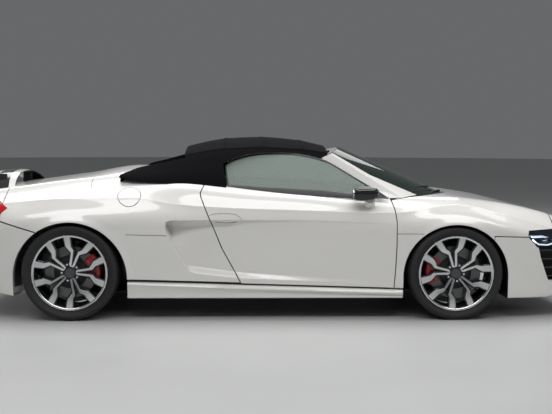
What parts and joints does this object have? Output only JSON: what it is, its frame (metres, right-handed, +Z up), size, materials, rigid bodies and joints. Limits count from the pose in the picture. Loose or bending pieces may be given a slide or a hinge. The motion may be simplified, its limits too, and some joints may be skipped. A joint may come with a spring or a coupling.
{
  "type": "roadster convertible",
  "caption": "Mid-engined roadster convertible with closed soft top, opening doors, bonnet and deck lid, steered front wheels and turning road wheels.",
  "frame": {"origin": "on the ground, midway between the bumpers, on the centre line", "axes": "+X forwards, +Y to the car's left, +Z up"},
  "size_m": [4.4346, 1.92, 1.2509],
  "materials": {
    "paint": "gloss",
    "black_plastic": "textured",
    "gloss_black": "gloss",
    "fabric": "woven",
    "glass": "clear",
    "lamp_clear": "gloss",
    "lamp_red": "gloss",
    "tyre": "matt",
    "alloy": "machined",
    "caliper_red": "gloss",
    "steel": "brushed",
    "cast": "cast",
    "leather": "grained"
  },
  "bodies": {
    "chassis": {"floor_tub": "black_plastic", "luggage_tub": "black_plastic", "front_bumper": "paint", "front_grilles": "black_plastic", "headlamps": "lamp_clear", "front_fender_left": "paint", "front_fender_right": "paint", "cowl_panel": "black_plastic", "windscreen_frame": "paint", "windscreen": "glass", "soft_top": "fabric", "rear_window": "glass", "rear_quarter_left": "paint", "rear_quarter_right": "paint", "fuel_flap": "paint", "rear_spoiler": "paint", "rear_bumper": "paint", "tail_panel": "paint", "tail_lamps": "lamp_red", "rear_grille": "black_plastic", "side_sills": "paint", "engine_block": "cast", "exhaust": "steel", "front_subframe": "cast", "rear_subframe": "cast", "rear_uprights": "cast", "rear_calipers": "caliper_red", "seats": "leather", "dashboard": "black_plastic", "door_hinges": "steel", "undertrays": "black_plastic"},
    "bonnet": {"bonnet": "paint"},
    "deck_lid": {"deck_lid": "paint"},
    "steering_wheel": {"steering_wheel": "leather"},
    "door_left": {"door_left": "paint", "door_glass_left": "glass", "mirror_left": "gloss_black"},
    "knuckle_left": {"knuckle_left": "cast", "front_caliper_left": "caliper_red"},
    "door_right": {"door_right": "paint", "door_glass_right": "glass", "mirror_right": "gloss_black"},
    "knuckle_right": {"knuckle_right": "cast", "front_caliper_right": "caliper_red"},
    "wheel_front_left": {"tyre_front_left": "tyre", "rim_front_left": "alloy", "brake_disc_front_left": "steel"},
    "wheel_front_right": {"tyre_front_right": "tyre", "rim_front_right": "alloy", "brake_disc_front_right": "steel"},
    "wheel_rear_left": {"tyre_rear_left": "tyre", "rim_rear_left": "alloy", "brake_disc_rear_left": "steel"},
    "wheel_rear_right": {"tyre_rear_right": "tyre", "rim_rear_right": "alloy", "brake_disc_rear_right": "steel"}
  },
  "joints": [
    {"name": "steer_left", "type": "hinge", "parent": "chassis", "child": "knuckle_left", "pos_m": [1.258, 0.765, 0.3235], "axis": [0, 0, 1], "range_deg": [-32, 32]},
    {"name": "spin_front_left", "type": "hinge", "parent": "knuckle_left", "child": "wheel_front_left", "pos_m": [1.258, 0.819, 0.3235], "axis": [0, 1, 0], "continuous": true},
    {"name": "spin_rear_left", "type": "hinge", "parent": "chassis", "child": "wheel_rear_left", "pos_m": [-1.392, 0.7975, 0.33], "axis": [0, 1, 0], "continuous": true},
    {"name": "door_swing_left", "type": "hinge", "parent": "chassis", "child": "door_left", "pos_m": [0.771, 0.889, 0.5], "axis": [0, 0, -1], "range_deg": [0, 65]},
    {"name": "steer_right", "type": "hinge", "parent": "chassis", "child": "knuckle_right", "pos_m": [1.258, -0.765, 0.3235], "axis": [0, 0, 1], "range_deg": [-32, 32]},
    {"name": "spin_front_right", "type": "hinge", "parent": "knuckle_right", "child": "wheel_front_right", "pos_m": [1.258, -0.819, 0.3235], "axis": [0, 1, 0], "continuous": true},
    {"name": "spin_rear_right", "type": "hinge", "parent": "chassis", "child": "wheel_rear_right", "pos_m": [-1.392, -0.7975, 0.33], "axis": [0, 1, 0], "continuous": true},
    {"name": "door_swing_right", "type": "hinge", "parent": "chassis", "child": "door_right", "pos_m": [0.771, -0.889, 0.5], "axis": [0, 0, 1], "range_deg": [0, 65]},
    {"name": "bonnet_lift", "type": "hinge", "parent": "chassis", "child": "bonnet", "pos_m": [1.138, 0, 0.815], "axis": [0, -1, 0], "range_deg": [0, 60]},
    {"name": "deck_lid_lift", "type": "hinge", "parent": "chassis", "child": "deck_lid", "pos_m": [-1.655, 0, 0.884], "axis": [0, -1, 0], "range_deg": [0, 40]},
    {"name": "steering_turn", "type": "hinge", "parent": "chassis", "child": "steering_wheel", "pos_m": [0.43, 0.37, 0.72], "axis": [-0.9135, 0, 0.4067], "range_deg": [-450, 450]}
  ],
  "couplings": [
    {"joint": "steer_right", "follows": "steer_left", "ratio": 1}
  ]
}
